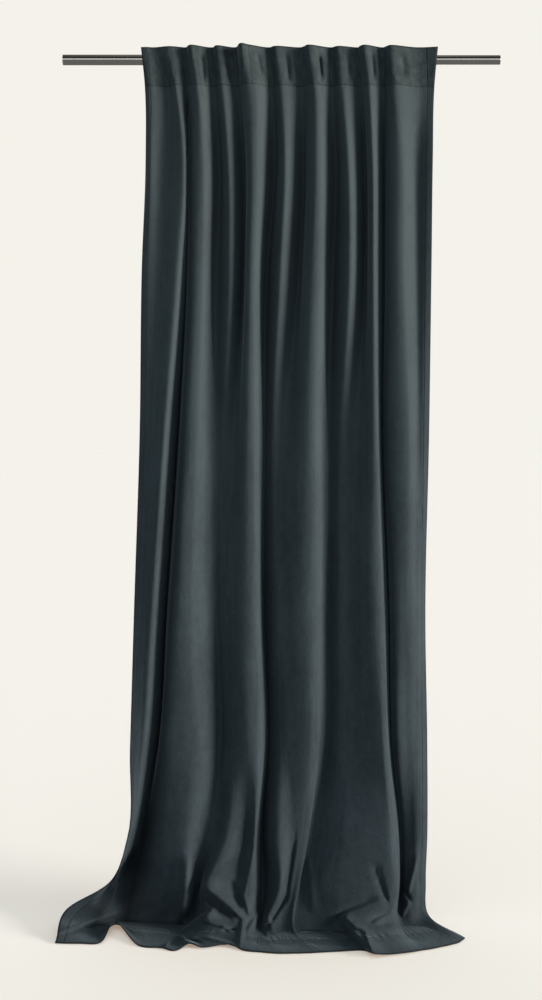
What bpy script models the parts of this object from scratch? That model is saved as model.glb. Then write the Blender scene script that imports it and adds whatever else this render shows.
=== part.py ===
"""A velvet curtain on its telescopic rod, as one reusable part.

The curtain is one sheet, gathered along a sewn header and hung by hidden back
tabs. It falls past the floor line, and its last stretch lies on the floor in
front. World frame: metres, +Z up, the rod's axis along X through the origin,
the front of the curtain towards -Y.

The tables give each fold line as it is seen from the front, in drawing steps
of 2.7 mm at the rod. An eye four metres in front, 1.35 m above the floor, turns
them into places, so a fold that stands forward keeps its place in that view.
"""

import math
from collections import namedtuple

import bmesh
import bpy
import numpy as np

# Drawing steps and the eye
STEP = 0.0027                # metres at the rod for one drawing step
MIDDLE = 281.5               # drawing step across of the rod's middle
EYE_ACROSS = 271.0           # drawing step across of the eye
EYE_AWAY = 4.0               # metres from the eye to the rod
FLOOR_Z = -2.3274            # the floor under the rod's axis

# Sizes, metres
CLOTH_THICK = 0.002
CLOTH_COLUMN = 0.0185        # widest column of the sheet's mesh
FLOOR_LIE = 0.0015           # middle of the sheet over the floor where it lies
ROD_HALF = 0.590
OUTER_RADIUS = 0.0140
OUTER_BORE = 0.0129
INNER_RADIUS = 0.0125
INNER_BORE = 0.0115
OUTER_MOUTH_X = 0.030        # right end of the thicker tube
INNER_TAIL_X = -0.200        # left end of the thinner tube, inside the thicker
END_WALL = 0.004
ROD_SIDES = 40

TAB_WIDTH = 0.024
TAB_THICK = 0.0015
TAB_GAP = 0.0008             # between the rod and the tab
SEAT = 0.0003                # what touches is this far apart
TAB_TOP_Z = 0.0200           # upper sewn end of a tab
TAB_END_Z = -0.0520          # lower sewn end

Look = namedtuple("Look", "colour roughness metallic sheen")
VELVET = Look((0.026, 0.036, 0.040), 0.85, 0.0, 0.3)
TAB_CLOTH = Look((0.030, 0.040, 0.044), 0.90, 0.0, 0.0)
STEEL = Look((0.46, 0.46, 0.44), 0.32, 1.0, 0.0)

# Level of each station over the floor, and its distance down the cloth, cm
LEVELS = (235.7, 225.5, 205.7, 175.8, 132.6, 82.9, 47.3, 23.5)
DOWN = (0.0, 10.2, 30.0, 60.0, 103.0, 153.0, 188.5, 212.5, 225.5, 237.0, 252.0)
STATION_ROWS = (1, 2, 3, 3, 4, 3, 3, 3, 4, 4)

# Fold lines from left to right, seen across in drawing steps at each level.
# "flat" is the line's place across the cut cloth, in cm.
Line = namedtuple("Line", "name flat top header chest upper middle lower knee shin")
LINES = (
    Line("left_edge",    0.0, 141, 145, 146, 142, 140, 134, 130, 127),
    Line("left_hem",     2.0, 146, 150, 150, 147, 145, 138, 133, 128.5),
    Line("valley_0",      5.0, 152, 165, 161, 158, 153, 144, 138, 128.8),
    Line("crest_1",      11.5, 168, 175, 184, 178.5, 166, 154, 145.5, 131.5),
    Line("valley_1",     20.0, 185, 187, 187.0, 186.5, 178.5, 166.5, 158.5, 140),
    Line("rim_2",        27.0, 187.5, 190.5, 191, 190.5, 183, 171.5, 163, 155),
    Line("crest_2",      33.0, 191, 197, 202.5, 202, 195.5, 189.5, 194, 183),
    Line("valley_2",     41.5, 213, 215, 221, 219, 215, 216, 220.5, 208),
    Line("crest_3",      45.5, 217.5, 222.5, 228.5, 230, 225, 221, 225, 217),
    Line("valley_3",     49.5, 235, 237.5, 243.5, 244, 236, 230, 233, 226),
    Line("rim_4",        53.5, 240, 243, 248, 246, 243, 242, 244, 246),
    Line("crest_4",      59.0, 248, 254, 257, 254.5, 254, 256, 259, 254.5),
    Line("valley_4",     67.5, 269, 272, 276, 268, 264, 264, 268.5, 263),
    Line("crest_5",      73.0, 277, 282, 285.5, 281, 273, 273, 276, 276),
    Line("valley_5",     78.0, 299, 301, 304, 300, 288, 285, 289, 291),
    Line("rim_6",        81.5, 304, 306.5, 309.5, 306, 299, 299, 303, 298.5),
    Line("crest_6",      87.5, 309, 315, 319, 319, 315, 316.5, 315, 306.5),
    Line("valley_6",     95.0, 331, 332, 337, 334, 328, 326.5, 324.5, 311.5),
    Line("crest_7",     100.0, 339, 342.5, 348, 349.5, 342, 339, 338, 330),
    Line("valley_7",    105.0, 357, 360, 364.5, 365, 358, 354, 353, 349),
    Line("rim_8",       109.5, 360, 364, 369, 370, 369, 371, 378, 384),
    Line("crest_8",     114.0, 364, 368.5, 373, 374, 376, 381.5, 386, 393.5),
    Line("valley_8",    122.5, 383, 384, 385, 385, 382.5, 389.5, 392, 400.5),
    Line("rim_9",       127.0, 387, 388.5, 389.5, 389, 389, 394, 396, 403),
    Line("crest_9",     131.5, 393, 396.5, 402.5, 403, 408, 407, 408, 411),
    Line("valley_9",    136.0, 417, 419, 418, 418, 418, 417, 418, 418),
    Line("right_hem",   138.0, 426, 427, 426, 425, 423.5, 421, 422, 422),
    Line("right_edge", 140.0, 438, 434.5, 432.8, 431.5, 429, 425, 427, 427),
)

# How far each line stands in front of the rod's axis at each level, cm
Depth = namedtuple("Depth", "top header chest upper middle lower knee shin")
DEPTHS = {
    "left_edge":  Depth(2.0, 2.0, 1.5, 1.0, 0.5, 2.0, 3.5, 3.5),
    "left_hem":   Depth(2.1, 2.6, 2.9, 2.0, 1.6, 2.4, 3.6, 3.4),
    "valley_0":   Depth(1.7, 1.7, 1.8, 2.2, 2.6, 3.2, 3.6, 2.8),
    "crest_1":    Depth(3.0, 3.8, 4.6, 4.8, 4.8, 4.0, 2.8, 1.2),
    "valley_1":   Depth(1.7, 1.7, -2.6, -5.0, -6.0, -6.0, -5.0, -2.5),
    "rim_2":      Depth(2.8, 3.0, 3.4, 3.6, 3.6, 3.4, 3.2, 1.6),
    "crest_2":    Depth(4.6, 4.9, 5.2, 4.8, 4.8, 4.6, 4.8, 4.4),
    "valley_2":   Depth(1.7, 1.7, 0.2, -0.4, 0.3, -0.2, -0.8, 1.8),
    "crest_3":    Depth(4.0, 4.0, 4.5, 3.9, 1.2, 0.6, 0.6, 2.8),
    "valley_3":   Depth(1.7, 1.7, 0.0, -0.2, 0.8, 2.2, 2.8, 5.6),
    "rim_4":      Depth(6.2, 4.6, 4.8, 4.6, 4.4, 4.3, 5.0, 3.8),
    "crest_4":    Depth(4.9, 5.2, 5.8, 5.6, 4.9, 4.3, 5.0, 5.6),
    "valley_4":   Depth(1.7, 1.7, -0.2, -2.0, -1.2, -3.0, -3.4, -2.4),
    "crest_5":    Depth(3.4, 3.9, 5.2, 4.3, 0.8, 1.0, 1.6, 5.8),
    "valley_5":   Depth(1.7, 1.7, -0.5, -1.4, 1.4, 2.6, 3.5, 4.6),
    "rim_6":      Depth(2.8, 2.8, 3.6, 3.9, 4.0, 4.3, 4.8, 4.4),
    "crest_6":    Depth(4.7, 4.9, 5.6, 5.4, 4.9, 4.2, 4.4, 3.9),
    "valley_6":   Depth(1.7, 1.7, -0.8, -1.8, -1.8, -1.8, -0.6, 2.4),
    "crest_7":    Depth(3.3, 3.9, 5.2, 5.0, 0.4, 0.3, 1.6, 4.8),
    "valley_7":   Depth(1.7, 1.7, -0.4, -1.2, 0.4, 1.5, 3.2, 6.8),
    "rim_8":      Depth(3.2, 3.2, 3.8, 3.8, 3.8, 4.3, 6.2, 8.6),
    "crest_8":    Depth(4.6, 4.8, 5.2, 5.0, 4.4, 4.2, 6.4, 7.8),
    "valley_8":   Depth(1.7, 1.7, -1.0, -2.0, -2.4, -2.6, -2.6, -1.5),
    "rim_9":      Depth(3.2, 3.2, 3.4, 3.2, 2.8, 3.0, 2.9, 1.4),
    "crest_9":    Depth(4.3, 4.6, 4.8, 4.6, 4.4, 3.9, 2.9, 2.6),
    "valley_9":   Depth(1.75, 1.75, 0.6, 0.8, 1.8, 2.6, 2.3, 3.2),
    "right_hem":  Depth(1.9, 1.8, 1.6, 1.7, 1.8, 1.4, 1.7, 2.8),
    "right_edge": Depth(2.6, 2.2, 2.2, 2.0, 1.4, -0.2, 0.7, 1.8),
}

# Where each line bends on to the floor and ends at the hem: seen across in
# drawing steps, in front of the rod in cm, and over the floor in cm.
Foot = namedtuple("Foot", "ankle_x ankle_y ankle_z land_x land_y land_z hem_x hem_y hem_z")
FEET = {
    "left_edge":  Foot(110, 1.6, 11.3, 68, 1.8, 4.4, 55, 16.9, 0.3),
    "left_hem":   Foot(112, 1.2, 10.8, 77, 1.4, 3.2, 63, 17.2, 0.3),
    "valley_0":   Foot(114, 0.6, 10.6, 90, 1.0, 1.8, 79, 17.3, 0.3),
    "crest_1":    Foot(117, 0.0, 10.6, 104, 0.8, 0.9, 100, 17.0, 0.4),
    "valley_1":   Foot(125, -1.0, 11.0, 119, 0.4, 0.8, 116, 6.0, 2.0),
    "rim_2":      Foot(150, 1.2, 11.0, 138, 1.0, 0.8, 138, 18.6, 0.3),
    "crest_2":    Foot(181, 4.0, 11.0, 172, 3.0, 0.8, 160, 20.4, 0.3),
    "valley_2":   Foot(201, 1.0, 11.0, 188, 2.4, 0.8, 178, 21.9, 0.3),
    "crest_3":    Foot(203, 5.0, 11.0, 205, 8.0, 3.0, 190, 18.0, 0.5),
    "valley_3":   Foot(209, 6.8, 11.0, 218, 9.0, 4.0, 203, 20.5, 0.4),
    "rim_4":      Foot(236, 5.5, 11.0, 232, 9.0, 4.0, 226, 18.6, 0.5),
    "crest_4":    Foot(251, 6.2, 11.0, 247, 8.0, 3.0, 242, 22.0, 0.3),
    "valley_4":   Foot(264, -0.5, 11.0, 262, 5.0, 1.0, 260, 23.5, 0.3),
    "crest_5":    Foot(278, 6.0, 11.0, 266, 8.2, 1.5, 278, 24.5, 0.3),
    "valley_5":   Foot(287, 5.0, 11.0, 281, 6.6, 1.0, 296, 24.4, 0.3),
    "rim_6":      Foot(292.5, 4.6, 11.0, 288, 6.8, 1.2, 307, 24.2, 0.3),
    "crest_6":    Foot(297.5, 4.8, 11.0, 293, 7.6, 1.5, 318, 23.8, 0.3),
    "valley_6":   Foot(304.5, 3.8, 11.0, 301.5, 7.4, 1.0, 338, 23.0, 0.3),
    "crest_7":    Foot(322, 6.6, 11.0, 338, 8.8, 1.0, 362, 22.3, 0.3),
    "valley_7":   Foot(346, 8.4, 11.0, 347, 9.6, 3.6, 374, 26.7, 1.0),
    "rim_8":      Foot(383, 9.0, 11.0, 366, 10.0, 3.2, 388, 26.0, 0.6),
    "crest_8":    Foot(395, 8.2, 11.0, 386, 7.0, 3.0, 403, 24.8, 0.5),
    "valley_8":   Foot(400.5, -0.5, 11.0, 400, 2.0, 1.2, 424, 22.0, 0.3),
    "rim_9":      Foot(404, 1.8, 11.0, 406, 2.2, 1.0, 433, 21.0, 0.3),
    "crest_9":    Foot(410.5, 2.9, 11.0, 412, 2.4, 1.0, 442, 19.6, 0.3),
    "valley_9":   Foot(417, 2.6, 11.0, 420, 1.6, 1.4, 452, 18.0, 0.3),
    "right_hem":  Foot(420.5, 1.8, 11.0, 424, 1.2, 1.8, 459, 16.5, 0.3),
    "right_edge": Foot(425.5, 0.8, 11.0, 428, 0.5, 2.3, 465, 13.4, 0.3),
}

# Valleys where the sheet touches the front of its tabs, seen across at the rod
TAB_STEPS = (152, 185, 213, 235, 269, 299, 331, 357, 383, 417)


def seen(across, forward, over_floor):
    """World place of a point seen at a drawing step, so far forward and up (cm)."""
    forward = forward / 100
    shrink = (EYE_AWAY - forward) / EYE_AWAY
    x = (EYE_ACROSS - MIDDLE + (across - EYE_ACROSS) * shrink) * STEP
    return (x, -forward, over_floor / 100 + FLOOR_Z)


def fold_grid():
    """Places of every fold line at every station, lines first."""
    grid = []
    for line in LINES:
        depth = DEPTHS[line.name]
        foot = FEET[line.name]
        places = [seen(*three) for three in zip(line[2:], depth, LEVELS)]
        places += [seen(*foot[0:3]), seen(*foot[3:6]), seen(*foot[6:9])]
        grid.append(places)
    return np.array(grid)


def spline(points, knots, at):
    """Smooth curve through the first axis of points, read at the given knots."""
    knots = np.asarray(knots, float)
    at = np.asarray(at, float)
    shape = (-1,) + (1,) * (points.ndim - 1)
    step = np.diff(knots).reshape(shape)
    slope = np.diff(points, axis=0) / step
    share = step[1:] / (step[1:] + step[:-1])
    tangent = np.concatenate([
        slope[:1], slope[:-1] * share + slope[1:] * (1 - share), slope[-1:]])
    part = np.clip(np.searchsorted(knots, at, side="right") - 1, 0, len(knots) - 2)
    size = step[part]
    t = ((at - knots[part]).reshape(shape)) / size
    return (points[part] * (2 * t ** 3 - 3 * t ** 2 + 1)
            + tangent[part] * size * (t ** 3 - 2 * t ** 2 + t)
            + points[part + 1] * (3 * t ** 2 - 2 * t ** 3)
            + tangent[part + 1] * size * (t ** 3 - t ** 2))


def spread(knots, counts):
    """Knot values with each interval divided into its count of equal parts."""
    values = []
    for low, high, count in zip(knots[:-1], knots[1:], counts):
        values += [low + (high - low) * k / count for k in range(count)]
    return values + [knots[-1]]


def drape():
    """Grid of places over the sheet's middle surface, columns first."""
    flats = [line.flat for line in LINES]
    widest = CLOTH_COLUMN * 100
    counts = [max(1, math.ceil((b - a) / widest)) for a, b in zip(flats[:-1], flats[1:])]
    columns = spline(fold_grid(), flats, spread(flats, counts))
    rows = spline(np.swapaxes(columns, 0, 1), DOWN, spread(DOWN, STATION_ROWS))
    rows[..., 2] = np.maximum(rows[..., 2], FLOOR_Z + FLOOR_LIE)
    return np.swapaxes(rows, 0, 1)


def finish(name, look):
    """Material of one object, from the named values of its look."""
    colour = look.colour
    mat = bpy.data.materials.new(name + "_finish")
    mat.use_nodes = True
    shader = mat.node_tree.nodes["Principled BSDF"]
    shader.inputs["Base Color"].default_value = (*colour, 1.0)
    shader.inputs["Roughness"].default_value = look.roughness
    shader.inputs["Metallic"].default_value = look.metallic
    shader.inputs["Sheen Weight"].default_value = look.sheen
    mat.diffuse_color = (*colour, 1.0)
    return mat


def add_object(name, shape, look):
    """Turn a bmesh into a named object with its own material."""
    bmesh.ops.recalc_face_normals(shape, faces=shape.faces)
    mesh = bpy.data.meshes.new(name)
    shape.to_mesh(mesh)
    shape.free()
    mesh.materials.append(finish(name, look))
    obj = bpy.data.objects.new(name, mesh)
    bpy.context.scene.collection.objects.link(obj)
    return obj


def add_panel(look):
    """The sheet: one grid over the drape, thickened evenly to both sides."""
    places = drape()
    shape = bmesh.new()
    verts = [[shape.verts.new(p) for p in column] for column in places]
    for left, right in zip(verts[:-1], verts[1:]):
        for k in range(len(left) - 1):
            shape.faces.new((left[k], left[k + 1], right[k + 1], right[k]))
    obj = add_object("curtain_panel", shape, look)
    solid = obj.modifiers.new("thickness", "SOLIDIFY")
    solid.thickness = CLOTH_THICK
    solid.offset = 0.0
    solid.use_even_offset = False
    solid.use_quality_normals = True
    return obj


def add_turned(name, profile, look):
    """Solid turned round the rod's axis from a closed (x, radius) profile."""
    shape = bmesh.new()
    rings = []
    for x, radius in profile:
        if radius == 0:
            rings.append([shape.verts.new((x, 0, 0))] * ROD_SIDES)
            continue
        ring = []
        for k in range(ROD_SIDES):
            turn = 2 * math.pi * k / ROD_SIDES
            ring.append(shape.verts.new((x, radius * math.sin(turn), radius * math.cos(turn))))
        rings.append(ring)
    for one, two in zip(rings[:-1], rings[1:]):
        for k in range(ROD_SIDES):
            n = (k + 1) % ROD_SIDES
            corners = []
            for vert in (one[k], one[n], two[n], two[k]):
                if vert not in corners:
                    corners.append(vert)
            shape.faces.new(corners)
    return add_object(name, shape, look)


def add_rod(look):
    """Two tubes, the thinner sliding in the thicker, each with a closed end."""
    left, right = -ROD_HALF, ROD_HALF
    add_turned("rod_outer_tube", (
        (left, 0), (left, OUTER_RADIUS), (OUTER_MOUTH_X, OUTER_RADIUS),
        (OUTER_MOUTH_X, OUTER_BORE), (left + END_WALL, OUTER_BORE), (left + END_WALL, 0)), look)
    add_turned("rod_inner_tube", (
        (right, 0), (right, INNER_RADIUS), (INNER_TAIL_X, INNER_RADIUS),
        (INNER_TAIL_X, INNER_BORE), (right - END_WALL, INNER_BORE), (right - END_WALL, 0)), look)


def tab_path(radius, front):
    """Middle line of a tab from the sheet over the rod and back, as (forward, up)."""
    turn = radius + TAB_GAP + TAB_THICK / 2
    path = [(front, TAB_TOP_Z)]
    for degrees in range(75, 271, 15):
        angle = math.radians(degrees)
        path.append((turn * math.cos(angle), turn * math.sin(angle)))
    path.append((front - 0.004, -0.030))
    path.append((front, -0.040))
    path.append((front, TAB_END_Z))
    return path


def add_tab(number, x, radius, front, look):
    """One tab: a band round the back of the rod, sewn to the sheet at both ends."""
    path = tab_path(radius, front)
    sides = ([], [])
    for k, (forward, up) in enumerate(path):
        before = path[max(k - 1, 0)]
        after = path[min(k + 1, len(path) - 1)]
        along = math.hypot(after[0] - before[0], after[1] - before[1])
        normal = ((after[1] - before[1]) / along, -(after[0] - before[0]) / along)
        if k in (0, len(path) - 1):
            normal = (math.copysign(1.0, normal[0]), 0.0)
        for side, sign in zip(sides, (0.5, -0.5)):
            push = sign * TAB_THICK
            side.append((forward + normal[0] * push, up + normal[1] * push))
    outline = sides[0] + sides[1][::-1]
    count = len(path)
    shape = bmesh.new()
    ends = []
    for edge in (x - TAB_WIDTH / 2, x + TAB_WIDTH / 2):
        ends.append([shape.verts.new((edge, -forward, up)) for forward, up in outline])
    for k in range(len(outline)):
        n = (k + 1) % len(outline)
        shape.faces.new((ends[0][k], ends[0][n], ends[1][n], ends[1][k]))
    for ring in ends:
        for k in range(count - 1):
            last = len(outline) - 1
            shape.faces.new((ring[k], ring[k + 1], ring[last - k - 1], ring[last - k]))
    return add_object(f"tab_{number:02d}", shape, look)


def add_tabs(look):
    """A tab behind each valley of the header."""
    sheet_back = DEPTHS["valley_2"].top / 100 - CLOTH_THICK / 2
    front = sheet_back - SEAT - TAB_THICK / 2
    for number, step in enumerate(TAB_STEPS, 1):
        x = seen(step, DEPTHS["valley_2"].top, 0)[0]
        radius = OUTER_RADIUS if x < OUTER_MOUTH_X + TAB_WIDTH else INNER_RADIUS
        add_tab(number, x, radius, front, look)


def main():
    for obj in list(bpy.data.objects):
        bpy.data.objects.remove(obj, do_unlink=True)
    add_panel(VELVET)
    add_tabs(TAB_CLOTH)
    add_rod(STEEL)


main()
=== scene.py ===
"""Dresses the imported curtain: velvet sheet, back tabs, telescopic rod and stage."""

import math
from collections import namedtuple

import bmesh
import bpy
import numpy as np
from bpy.props import FloatProperty, FloatVectorProperty, IntProperty, PointerProperty
from mathutils import Matrix, Vector


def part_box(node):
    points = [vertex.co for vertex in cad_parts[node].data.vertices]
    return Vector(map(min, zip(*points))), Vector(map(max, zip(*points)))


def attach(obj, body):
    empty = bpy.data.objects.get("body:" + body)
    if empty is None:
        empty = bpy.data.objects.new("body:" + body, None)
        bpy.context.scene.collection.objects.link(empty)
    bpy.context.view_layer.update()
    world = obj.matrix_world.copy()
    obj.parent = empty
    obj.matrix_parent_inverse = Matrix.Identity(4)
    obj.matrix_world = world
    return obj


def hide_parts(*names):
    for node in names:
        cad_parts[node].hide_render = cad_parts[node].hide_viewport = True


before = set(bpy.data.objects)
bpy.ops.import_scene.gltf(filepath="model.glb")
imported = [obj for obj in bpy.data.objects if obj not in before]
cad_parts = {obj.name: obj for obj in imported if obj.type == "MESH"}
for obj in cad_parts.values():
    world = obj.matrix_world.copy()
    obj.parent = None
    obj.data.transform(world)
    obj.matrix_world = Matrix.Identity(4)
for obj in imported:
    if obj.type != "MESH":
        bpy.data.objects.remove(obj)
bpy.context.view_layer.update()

bl_info = {
    "name": "Velvet Curtain on a Rod",
    "version": (1, 0, 0),
    "blender": (4, 5, 0),
    "location": "View3D > Sidebar > Curtain",
    "description": "Builds a draped velvet curtain with back tabs, its telescopic rod and a stage",
    "category": "Object",
}

# Drawing steps and the eye, as in the part's source
STEP = 0.0027                # metres at the rod for one drawing step
MIDDLE = 281.5               # drawing step across of the rod's middle
EYE_ACROSS = 271.0           # drawing step across of the eye
EYE_AWAY = 4.0               # metres from the eye to the rod
EYE_UP = 1.35                # metres from the floor to the eye
FLOOR_Z = -2.3274            # the floor under the rod's axis
FLOOR_LIE = 0.0015           # middle of the sheet over the floor where it lies
FLOOR_TOUCH = 0.0002         # the sheet's faces stay so far over the floor
CLOTH_FLAT = (1.40, 2.52)    # the cut cloth, across and down
HORIZON = 422.0              # drawing step down at the eye's height
EYE = ((EYE_ACROSS - MIDDLE) * STEP, -EYE_AWAY, FLOOR_Z + EYE_UP)

# The sheet at the tabs and the hems, and its creases
TAB_CLEAR = 0.0177           # the sheet's middle stays this far in front of the rod's axis
TAB_ZONE = -0.070            # down to this level, where the tabs are
HEM_MORE = 0.4               # how much thicker the sheet is where it is turned over
CREASE_FADE = 0.22           # share of a crease's length over which each end fades
NOT_ZERO = 1e-12

# Marks on the velvet, metres on the cut cloth
EDGE_SHADE_WIDTH = 0.006            # width of the painted shade along the turned edges
STITCH_WIDE = 0.0022
STITCH_LONG = 0.0048
STITCH_SHARE = 0.78          # share of a stitch's length that shows
WANDER = 0.006               # how far a seam strays in all
HEADER_PULL = 0.035          # reach of the puckers beside the header's seam
FOOT_PULL = 0.03             # and beside the bottom hem's seam

# Ramps down the cut cloth: where each is zero, where it is one, metres
FOOT_SHADE_RAMP = (1.105, 2.405)   # painted shade: the pile is darker towards the foot
TOP_LIGHT_RAMP = (1.24, 0.84)     # and painted light: lighter towards the top
DEEP_SHADE_RAMP = (0.116667, 0.2)  # the deep fold's painted shade starts under the header

# Painted shade in the pile's colour, inside the deep fold and on the cloth at the left foot: middle and
# reach, metres on the cut cloth
DEEP_FOLD_SHADE = (0.232, 0.062)
# Painted shade on the cloth lying at the left foot
LEFT_FOOT_SHADE_ACROSS = (0.075, 0.07)
LEFT_FOOT_SHADE_DOWN = (2.345, 0.075)

# Darkest and lightest pile, and what shifts its tone: painted light at the top, painted shade at the foot
# and in the header
PILE_DARK = 0.78
PILE_LIGHT = 1.48
TONE_MIDDLE = 0.72
TOP_PAINTED_LIGHT = 0.22
FOOT_PAINTED_SHADE = 0.42
# Painted shade in the header
HEADER_PAINTED_SHADE = 0.44
SHEEN_TINT = (0.55, 0.66, 0.70, 1.0)

# Patterns on the cut cloth: repeats to the metre across and down, detail and
# roughness, and the weight in the tone, more of it in the header, and in the relief
Pattern = namedtuple("Pattern", "wide tall detail rough tone header relief", defaults=(0.0, 0.0, 0.0))
NAP = Pattern(60.0, 2.6, 5.0, 0.6, 0.9, 0.0, 0.25)
BLOTCH = Pattern(11.0, 5.0, 4.0, 0.6, 1.3, 0.0, 0.9)
CRUSH = Pattern(62.0, 36.0, 3.0, 0.65, 0.9, 1.3, 0.9)
GRAIN = Pattern(430.0, 250.0, 2.0, 0.6, 1.1, 0.0, 0.35)
PUCKER = Pattern(85.0, 14.0, 2.0, 0.5, relief=3.2)
STRAY = Pattern(7.0, 7.0, 2.0, 0.5)
CLOUD = Pattern(9.0, 5.0, 3.0, 0.5)
SEAM_SUNK = 1.4              # weight of the seams in the relief

# Plain weaves: angles to the metre across and down, share against the cloudy
# tone, darkest and lightest, strength of the relief
Weave = namedtuple("Weave", "warp weft share dark light relief")
BACK_WEAVE = Weave(1600.0, 1400.0, 0.35, 0.75, 1.3, 0.6)
TAPE_WEAVE = Weave(2200.0, 2200.0, 0.5, 0.7, 1.5, 0.7)
TAPE_CLOUD = 60.0            # repeats of its cloudy tone to the metre

# Back tabs: degrees over level at which a tab meets the rod, flats round it, and
# the levels at which its tail leans back to the sheet
TAB_LIFT = 75
TAB_STEPS = 26
TAIL_LEAN = -0.030
TAIL_SEWN = -0.040
TAIL_SLACK = 0.004           # how far the tail stands off the sheet where it leans

# Rod: repeats of the drawn lines to the metre along and across, wall at the mouth
DRAWN = (6.0, 900.0, 900.0)
MOUTH_WALL = 0.0010

# Tabs and tubes
SMOOTH_UNDER = 40            # degrees of turn under which an edge is shaded smooth
SAME_PLACE = 1e-5            # metres under which two places are one

# Stage light: where the soft key comes from, how soft, and the tints
SUN_FROM = Vector((0.93, -0.36, 0.07)).normalized()
SUN_SOFT = 26.0
SUN_TINT = (1.0, 0.99, 0.95)  # also of what the rod mirrors
FILL_TINT = (0.80, 0.965, 1.08)
FLOOR_SHARE = 0.8            # share of the floor's paleness that the lights make
SUN_ON_FLOOR = 0.089         # mean cosine of the soft key on the floor
FLOOR_REACH = 60.0

# The surround that the rod mirrors: height, reach and strength of each bright
# band, the strength below the level, and the least
MIRROR_BANDS = ((0.15, 0.20, 1.8), (1.0, 0.08, 0.35))
MIRROR_BELOW = 0.15
MIRROR_LEAST = 0.03

# Camera
SENSOR = 36.0
PHOTO_HIGH = 1000.0          # drawing steps down the whole picture

# Level of each station over the floor, and its distance down the cloth, cm
LEVELS = (235.7, 225.5, 205.7, 175.8, 132.6, 82.9, 47.3, 23.5)
DOWN = (0.0, 10.2, 30.0, 60.0, 103.0, 153.0, 188.5, 212.5, 225.5, 237.0, 252.0)

# Fold lines from left to right, seen across in drawing steps at each level.
# "flat" is the line's place across the cut cloth, in cm.
Line = namedtuple("Line", "name flat top header chest upper middle lower knee shin")
LINES = (
    Line("left_edge",    0.0, 141, 145, 146, 142, 140, 134, 130, 127),
    Line("left_hem",     2.0, 146, 150, 150, 147, 145, 138, 133, 128.5),
    Line("valley_0",     5.0, 152, 165, 161, 158, 153, 144, 138, 128.8),
    Line("crest_1",     11.5, 168, 175, 184, 178.5, 166, 154, 145.5, 131.5),
    Line("valley_1",    20.0, 185, 187, 187, 186.5, 178.5, 166.5, 158.5, 140),
    Line("rim_2",       27.0, 187.5, 190.5, 191, 190.5, 183, 171.5, 163, 155),
    Line("crest_2",     33.0, 191, 197, 202.5, 202, 195.5, 189.5, 194, 183),
    Line("valley_2",    41.5, 213, 215, 221, 219, 215, 216, 220.5, 208),
    Line("crest_3",     45.5, 217.5, 222.5, 228.5, 230, 225, 221, 225, 217),
    Line("valley_3",    49.5, 235, 237.5, 243.5, 244, 236, 230, 233, 226),
    Line("rim_4",       53.5, 240, 243, 248, 246, 243, 242, 244, 246),
    Line("crest_4",     59.0, 248, 254, 257, 254.5, 254, 256, 259, 254.5),
    Line("valley_4",    67.5, 269, 272, 276, 268, 264, 264, 268.5, 263),
    Line("crest_5",     73.0, 277, 282, 285.5, 281, 273, 273, 276, 276),
    Line("valley_5",    78.0, 299, 301, 304, 300, 288, 285, 289, 291),
    Line("rim_6",       81.5, 304, 306.5, 309.5, 306, 299, 299, 303, 298.5),
    Line("crest_6",     87.5, 309, 315, 319, 319, 315, 316.5, 315, 306.5),
    Line("valley_6",    95.0, 331, 332, 337, 334, 328, 326.5, 324.5, 311.5),
    Line("crest_7",    100.0, 339, 342.5, 348, 349.5, 342, 339, 338, 330),
    Line("valley_7",   105.0, 357, 360, 364.5, 365, 358, 354, 353, 349),
    Line("rim_8",      109.5, 360, 364, 369, 370, 369, 371, 378, 384),
    Line("crest_8",    114.0, 364, 368.5, 373, 374, 376, 381.5, 386, 393.5),
    Line("valley_8",   122.5, 383, 384, 385, 385, 382.5, 389.5, 392, 400.5),
    Line("rim_9",      127.0, 387, 388.5, 389.5, 389, 389, 394, 396, 403),
    Line("crest_9",    131.5, 393, 396.5, 402.5, 403, 408, 407, 408, 411),
    Line("valley_9",   136.0, 417, 419, 418, 418, 418, 417, 418, 418),
    Line("right_hem",  138.0, 426, 427, 426, 425, 423.5, 421, 422, 422),
    Line("right_edge", 140.0, 438, 434.5, 432.8, 431.5, 429, 425, 427, 427),
)

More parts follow.
